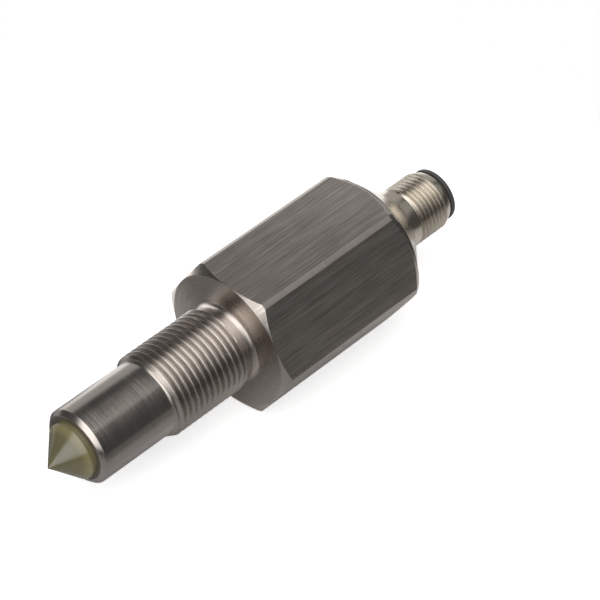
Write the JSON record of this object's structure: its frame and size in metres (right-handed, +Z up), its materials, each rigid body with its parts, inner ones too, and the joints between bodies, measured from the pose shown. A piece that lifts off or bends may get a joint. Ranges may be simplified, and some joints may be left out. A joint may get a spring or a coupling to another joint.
{
  "type": "optical level sensor",
  "caption": "Screw-in optical level sensor: stainless hexagonal housing with a conical prism at the nose and a round threaded plug at the back, lying on a wrench flat.",
  "frame": {"origin": "middle of the bounding box in plan, on the surface that the lower wrench flat rests on", "axes": "+X along the sensor from the prism to the plug, +Z up, square to the two horizontal wrench flats"},
  "size_m": [0.0984, 0.0306, 0.027],
  "materials": {
    "stainless_steel": "brushed flats, turned ends, satin",
    "nickel_plate": "nickel-plated brass, turned",
    "prism_resin": "olive, see-through, polished",
    "adhesive": "dark, satin",
    "seal_rubber": "matte",
    "black_plastic": "moulded, fine matte",
    "sleeve_plastic": "natural, matte",
    "emitter_lens": "clear epoxy",
    "receiver_lens": "dark epoxy",
    "tinned_lead": "tinned",
    "board_laminate": "green solder mask",
    "chip_body": "moulded epoxy",
    "resistor_body": "glazed ceramic with a dark coat",
    "capacitor_ceramic": "ceramic, satin",
    "tantalum_case": "moulded, yellow",
    "gold_plate": "gold-plated",
    "brown_insulation": "satin",
    "white_insulation": "satin",
    "blue_insulation": "satin",
    "black_insulation": "satin"
  },
  "bodies": {
    "root": {"housing": "stainless_steel", "prism": "prism_resin", "prism_bond": "adhesive", "prism_o_ring": "seal_rubber", "optics_holder": "black_plastic", "emitter": "emitter_lens", "receiver": "receiver_lens", "emitter_lead_1": "tinned_lead", "emitter_lead_2": "tinned_lead", "receiver_lead_1": "tinned_lead", "receiver_lead_2": "tinned_lead", "circuit_board": "board_laminate", "amplifier": "chip_body", "controller": "chip_body", "regulator": "chip_body", "output_transistor": "chip_body", "protection_diode": "chip_body", "capacitor_1": "capacitor_ceramic", "capacitor_2": "capacitor_ceramic", "capacitor_3": "tantalum_case", "resistor_1": "resistor_body", "resistor_2": "resistor_body", "resistor_3": "resistor_body", "resistor_4": "resistor_body", "board_sleeve": "sleeve_plastic", "plug_shell": "nickel_plate", "plug_shell_o_ring": "seal_rubber", "contact_carrier": "black_plastic", "carrier_o_ring": "seal_rubber", "contact_pin_1": "gold_plate", "contact_pin_2": "gold_plate", "contact_pin_3": "gold_plate", "contact_pin_4": "gold_plate", "wire_1": "brown_insulation", "wire_2": "white_insulation", "wire_3": "blue_insulation", "wire_4": "black_insulation"}
  },
  "joints": []
}
